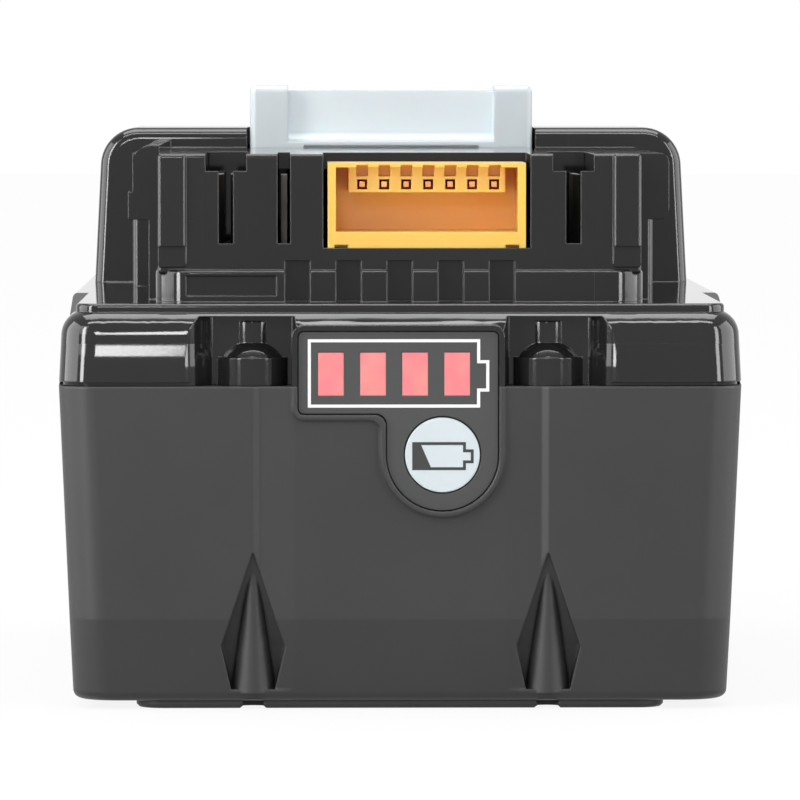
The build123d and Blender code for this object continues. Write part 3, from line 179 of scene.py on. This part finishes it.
# Gauge plate: polyester film over plastic, an even dark satin
gauge_film = moulded("dark_polyester_film", ("#262827", "#2A2C2B"), 0.2, 0.001, (0.32, 0.40), edge_mm=0.12,
                     IOR=1.55)
# Button top: silvery white film, satin
button_film = moulded("silver_white_film", ("#C6D0D6", "#CED8DC"), 0.2, 0.001, (0.32, 0.40), edge_mm=0.1,
                      IOR=1.5)
# Epoxy packages of the chip, the transistors and the thermistor bead: dull charcoal
epoxy_package = moulded("charcoal_epoxy", ("#1C1C1D", "#232324"), 0.12, 0.004, (0.5, 0.65), edge_mm=0.1,
                        IOR=1.55)
# Shrink sleeve of the cells: PVC, smooth with faint wrinkles along the seam
cell_sleeve = moulded("teal_pvc_sleeve", ("#2E7F6C", "#38907A"), 1.6, 0.01, (0.25, 0.34), edge_mm=0.2,
                      IOR=1.53)
# Closed-cell foam: dull grey with open pores half a millimetre wide
floor_foam = moulded("grey_eva_foam", ("#5A5A5C", "#6A6A6C"), 0.5, 0.12, (0.85, 0.95), IOR=1.45)
# Vulcanised fibre: grey-green paper with a matted surface
fibre_paper = moulded("grey_green_fibre_paper", ("#A9B796", "#BCC8AA"), 0.8, 0.02, (0.7, 0.8), IOR=1.45)
# Polyester ribbon over copper tracks: white and glossy
ribbon_film = moulded("white_ribbon_film", ("#DEDACF", "#E8E4DA"), 0.6, 0.003, (0.25, 0.32), edge_mm=0.05,
                       IOR=1.55)
# Milky epoxy of the gauge's lights and the switch's plunger
milky_epoxy = moulded("milky_epoxy", ("#E2E0D4", "#F0EEE4"), 0.2, 0.001, (0.2, 0.3), edge_mm=0.1, IOR=1.5)


def rolled_metal(name, colours, roughness, line_mm, along, **sockets):
    """A drawn or rolled metal with fine lines along one direction and a slight tarnish."""
    made, tree, shader = new_material(name, Metallic=1.0, **sockets)
    line_stretch, line_depth_mm = 12.0, 0.004
    tarnish_mm, metal_edge_mm = 3, 0.1
    stretch = [1.0 if axis == along else line_stretch for axis in "XYZ"]
    lines = add(tree, "ShaderNodeTexNoise", {"Vector": object_place(tree, stretch),
                                             "Scale": 1 / (line_stretch * line_mm * MM), "Detail": 2.0})
    tarnish = add(tree, "ShaderNodeTexNoise", {"Vector": object_place(tree), "Scale": 1 / (tarnish_mm * MM),
                                               "Detail": 3.0})
    tree.links.new(ramp(tree, tarnish.outputs["Fac"], [(0.3, colours[0]), (0.7, colours[1])]),
                   shader.inputs["Base Color"])
    polish = add(tree, "ShaderNodeMapRange", {"Value": lines.outputs["Fac"], "To Min": roughness[0],
                                              "To Max": roughness[1]})
    tree.links.new(polish.outputs["Result"], shader.inputs["Roughness"])
    soft = add(tree, "ShaderNodeBevel", {"Radius": metal_edge_mm * MM}, samples=4)
    bump = add(tree, "ShaderNodeBump", {"Height": lines.outputs["Fac"], "Distance": line_depth_mm * MM,
                                        "Normal": soft.outputs["Normal"]})
    tree.links.new(bump.outputs["Normal"], shader.inputs["Normal"])
    return made


# Copper alloy of the signal pins: warm and softly reflecting
contact_copper = rolled_metal("copper_alloy_contact", ("#B8764A", "#D09A6A"), (0.28, 0.42), 0.06, "Y")
# Tinned copper alloy of the forks and the signal blade: painted a dark grey, well below bright tin, as
# painted shade for the shadow deep in their slots
shaded_tinned_contact = rolled_metal("tinned_copper_alloy_painted_shade", ("#4C4A48", "#5E5B58"), (0.35, 0.5), 0.06, "Y")
# Pure nickel strip: pale and slightly yellow, rolled along the row of cells
nickel_strip = rolled_metal("rolled_nickel", ("#B9B5A8", "#CFCCC2"), (0.25, 0.4), 0.08, "Y")
# Zinc-plated screws and the switch's can
zinc_steel = rolled_metal("zinc_plated_steel", ("#8F9296", "#A9ACB0"), (0.25, 0.4), 0.08, "Z")
# Music wire of the latch's spring, drawn smooth
music_wire = rolled_metal("drawn_music_wire", ("#8C8A86", "#A8A6A2"), (0.18, 0.3), 0.05, "Z")
# Manganin shunt: a dull reddish grey sheet
manganin = rolled_metal("manganin_sheet", ("#8F867E", "#A59B92"), (0.35, 0.5), 0.08, "Y")


# Solder mask over the boards: green epoxy with copper tracks that show through a shade lighter
solder_mask, tree, shader = new_material("green_solder_mask", Roughness=0.3, IOR=1.55)
place = object_place(tree)
track_pitch_mm, track_height_mm = 1.6, 0.02
tracks = add(tree, "ShaderNodeTexBrick", {"Vector": place, "Color1": linear("#1C5236"),
                                          "Color2": linear("#1E5A3A"), "Mortar": linear("#2F7A50"),
                                          "Scale": 1 / (track_pitch_mm * MM),
                                          "Mortar Size": 0.12, "Brick Width": 2.5, "Row Height": 0.5})
tree.links.new(tracks.outputs["Color"], shader.inputs["Base Color"])
track_bump = add(tree, "ShaderNodeBump", {"Height": tracks.outputs["Fac"], "Distance": track_height_mm * MM})
tree.links.new(track_bump.outputs["Normal"], shader.inputs["Normal"])

# Gauge windows: translucent red acrylic, pinkish where the light scatters, deeper red round its rim
red_acrylic, tree, shader = new_material("red_acrylic_window", Roughness=0.25, IOR=1.49,
                                         Subsurface_Weight=0.4, Subsurface_Scale=0.001)
place = object_place(tree)
scatter_mm = 2.5
scatter = add(tree, "ShaderNodeTexNoise", {"Vector": place, "Scale": 1 / (scatter_mm * MM), "Detail": 1.0})
tree.links.new(ramp(tree, scatter.outputs["Fac"], [(0.3, "#F4858C"), (0.7, "#F7938F")]),
               shader.inputs["Base Color"])

# Print inks of the gauge: opaque white and near-black, screen printed
white_ink = moulded("white_screen_ink", ("#EDEDED", "#F4F4F4"), 0.1, 0.001, (0.4, 0.5), edge_mm=0.03,
                    IOR=1.5)
dark_ink = moulded("dark_screen_ink", ("#101215", "#16181B"), 0.1, 0.001, (0.4, 0.5), edge_mm=0.03, IOR=1.5)

finishes = {
    "lower_case": tub_nylon, "upper_case": shell_abs, "release_latch": latch_acetal,
    "connector_housing": housing_pbt, "connector_pins": contact_copper, "terminal_bases": frame_polycarbonate,
    # The forks and the signal blade take the tinned metal darkened by painted shade
    "terminal_negative": shaded_tinned_contact, "terminal_positive": shaded_tinned_contact,
    "signal_terminal": shaded_tinned_contact, "gauge_panel": gauge_film, "gauge_windows": red_acrylic,
    "gauge_button": button_film, "gauge_switch": zinc_steel, "switch_plunger": milky_epoxy,
    "gauge_lights": milky_epoxy, "gauge_board": solder_mask, "gauge_ribbon": ribbon_film,
    "cell_": cell_sleeve, "cell_frame": frame_polycarbonate, "bus_strip": nickel_strip,
    "insulator": fibre_paper, "base_foam": floor_foam, "main_board": solder_mask,
    "board_screws": zinc_steel, "controller_chip": epoxy_package, "power_transistors": epoxy_package,
    "board_capacitors": epoxy_package, "shunt_resistor": manganin, "thermistor": epoxy_package,
    "latch_spring": music_wire, "case_screws": zinc_steel, "screw_plug": frame_polycarbonate,
}
for name, piece in nodes.items():
    stem = max((key for key in finishes if name.startswith(key)), key=len)
    piece.data.materials.clear()
    piece.data.materials.append(finishes[stem])


def placed(name, mesh, material):
    """Turns a finished bmesh into an object of the scene, with one material."""
    data = bpy.data.meshes.new(name)
    mesh.to_mesh(data)
    mesh.free()
    data.materials.append(material)
    made = bpy.data.objects.new(name, data)
    bpy.context.scene.collection.objects.link(made)
    return made


# The latch's spring shortens when the latch goes down, so a copy of its coil stands in for the rigid node
coil = bmesh.new()
coil.from_mesh(nodes["latch_spring"].data)
bmesh.ops.remove_doubles(coil, verts=coil.verts, dist=merge_distance)
latch_coil = placed("latch_coil", coil, music_wire)
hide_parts("latch_spring")
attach(latch_coil, "pack")
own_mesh(latch_coil)


def printed(name, outlines, face_y, thickness_mm, material, body):
    """Flat print on a face that looks along -Y: each outline is a list of (x, z) points in millimetres."""
    mesh = bmesh.new()
    for outline in outlines:
        corners = [mesh.verts.new((x * MM, face_y, z * MM)) for x, z in outline]
        made = mesh.faces.new(corners)
        raised = bmesh.ops.extrude_face_region(mesh, geom=[made])
        moved = [v for v in raised["geom"] if isinstance(v, bmesh.types.BMVert)]
        bmesh.ops.translate(mesh, verts=moved, vec=(0, -thickness_mm * MM, 0))
    bmesh.ops.remove_doubles(mesh, verts=mesh.verts, dist=merge_distance)
    bmesh.ops.recalc_face_normals(mesh, faces=mesh.faces)
    piece = placed(name, mesh, material)
    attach(piece, body)


def line_loop(points, width):
    """Quads that follow a closed loop of (x, z) points, mitred at its corners."""
    count = len(points)
    sides = ([], [])
    for i, point in enumerate(points):
        before = Vector(points[i - 1])
        here = Vector(point)
        after = Vector(points[(i + 1) % count])
        into = (here - before).normalized()
        out = (after - here).normalized()
        normal = Vector((-into.y, into.x))
        across = (normal + Vector((-out.y, out.x))).normalized()
        reach = width / 2 / across.dot(normal)
        sides[0].append(here + across * reach)
        sides[1].append(here - across * reach)
    return [[sides[0][i], sides[0][(i + 1) % count], sides[1][(i + 1) % count], sides[1][i]]
            for i in range(count)]


# White outline of a cell round the four windows
panel_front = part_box("gauge_panel")[0].y
print_thickness_mm = 0.03
outline_width = 0.34
gauge_left, gauge_right, gauge_low, gauge_top = -10.0, 8.5, 33.45, 40.6
nub_right, nub_low, nub_top = 9.5, 35.2, 38.3
gauge_loop = [(gauge_left, gauge_low), (gauge_right, gauge_low), (gauge_right, nub_low),
              (nub_right, nub_low), (nub_right, nub_top), (gauge_right, nub_top), (gauge_right, gauge_top),
              (gauge_left, gauge_top)]
printed("gauge_outline", line_loop(gauge_loop, outline_width), panel_front, print_thickness_mm, white_ink,
        "pack")

# Battery mark on the button, with its slanting low charge
button_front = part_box("gauge_button")[0].y
mark_width = 0.32
mark_left, mark_right, mark_low, mark_top = 1.4, 6.95, 26.6, 29.35
mark_nub_right, mark_nub_low, mark_nub_top = 7.8, 27.35, 28.55
mark_loop = [(mark_left, mark_low), (mark_right, mark_low), (mark_right, mark_nub_low),
             (mark_nub_right, mark_nub_low), (mark_nub_right, mark_nub_top), (mark_right, mark_nub_top),
             (mark_right, mark_top), (mark_left, mark_top)]
fill_low, fill_top = 1.95, 0.75
mark_fill = [[(mark_left, mark_low), (mark_left + fill_low, mark_low), (mark_left + fill_top, mark_top),
              (mark_left, mark_top)]]
printed("button_mark", line_loop(mark_loop, mark_width), button_front, print_thickness_mm, dark_ink,
        "gauge_button")
printed("button_mark_fill", mark_fill, button_front, print_thickness_mm / 2, dark_ink, "gauge_button")


# Floor and light
def stage_plane(name, corners, material):
    """A flat sheet of the set from its four corners."""
    mesh = bmesh.new()
    mesh.faces.new([mesh.verts.new(corner) for corner in corners])
    placed(name, mesh, material)


def seen_directly(tree):
    """1 for camera, glossy and transmission rays, which see the white surroundings themselves."""
    path = add(tree, "ShaderNodeLightPath")
    bare = add(tree, "ShaderNodeMath", {0: path.outputs["Is Camera Ray"], 1: path.outputs["Is Glossy Ray"]},
               operation="MAXIMUM")
    return add(tree, "ShaderNodeMath", {0: bare.outputs["Value"], 1: path.outputs["Is Transmission Ray"]},
               operation="MAXIMUM").outputs["Value"]


# White board under the object: mostly its own white where it is looked at, so only a soft shadow is left
set_white, tree, shader = new_material("white_board", Roughness=0.8)
shader.inputs["Base Color"].default_value = linear("#FAFAFA")
glow_share = 0.88
glow = add(tree, "ShaderNodeEmission", {"Color": linear("#FFFFFF"), "Strength": 1.0})
share = add(tree, "ShaderNodeMath", {0: seen_directly(tree), 1: glow_share}, operation="MULTIPLY")
board = add(tree, "ShaderNodeMixShader", {"Fac": share.outputs["Value"]})
tree.links.new(shader.outputs["BSDF"], board.inputs[1])
tree.links.new(glow.outputs["Emission"], board.inputs[2])
tree.links.new(board.outputs["Shader"], tree.nodes["Material Output"].inputs["Surface"])
half_floor = 4.0
stage_plane("floor", [(-half_floor, -half_floor, 0), (half_floor, -half_floor, 0),
                      (half_floor, half_floor, 0), (-half_floor, half_floor, 0)], set_white)

# Surroundings: a white tent, with a plain fill for diffuse light
world = bpy.data.worlds.new("studio")
bpy.context.scene.world = world
world.use_nodes = True
tree = world.node_tree
background = tree.nodes["Background"]
background.inputs["Color"].default_value = linear("#FFFFFF")
fill_level = 0.85
strength = add(tree, "ShaderNodeMapRange", {"Value": seen_directly(tree), "To Min": fill_level,
                                            "To Max": 1.0})
tree.links.new(strength.outputs["Result"], background.inputs["Strength"])


def softbox(name, place, aim, width, height, radiance, reflected_only=False):
    """An area lamp that gives a radiance, aimed at a point; one may light only by its reflection."""
    lamp = bpy.data.lights.new(name, "AREA")
    lamp.shape = "RECTANGLE"
    lamp.size = width
    lamp.size_y = height
    lamp.energy = radiance * math.pi * width * height
    box = bpy.data.objects.new(name, lamp)
    box.location = place
    box.rotation_euler = (Vector(aim) - Vector(place)).to_track_quat("-Z", "Y").to_euler()
    box.visible_diffuse = not reflected_only
    bpy.context.scene.collection.objects.link(box)


target = (0, 0, 0.04)
softbox("key_softbox", (-0.5, -0.5, 0.38), target, 0.3, 0.4, 4.6)
softbox("top_softbox", (0.0, -0.1, 0.95), target, 0.6, 0.4, 1.2)
# Tent panels that show only in what reflects them: beside, above, over the camera, and thin bright strips
softbox("left_panel", (-0.9, -0.1, 0.41), (0, -0.05, 0.41), 0.9, 0.8, 6.5, reflected_only=True)
softbox("right_panel", (0.9, -0.1, 0.41), (0, -0.05, 0.41), 0.9, 0.8, 5.5, reflected_only=True)
softbox("top_panel", (0.0, 0.1, 1.0), target, 1.0, 0.55, 8.0, reflected_only=True)
softbox("camera_panel", (-0.175, -1.557, 0.443), target, 0.25, 0.2, 34.0, reflected_only=True)
softbox("top_strip", (0.0, -0.45, 0.85), target, 0.9, 0.12, 18.0, reflected_only=True)
softbox("left_strip", (-0.62, -0.68, 0.36), (0, -0.05, 0.36), 0.16, 0.7, 28.0, reflected_only=True)
softbox("right_strip", (0.62, -0.68, 0.36), (0, -0.05, 0.36), 0.16, 0.7, 16.0, reflected_only=True)
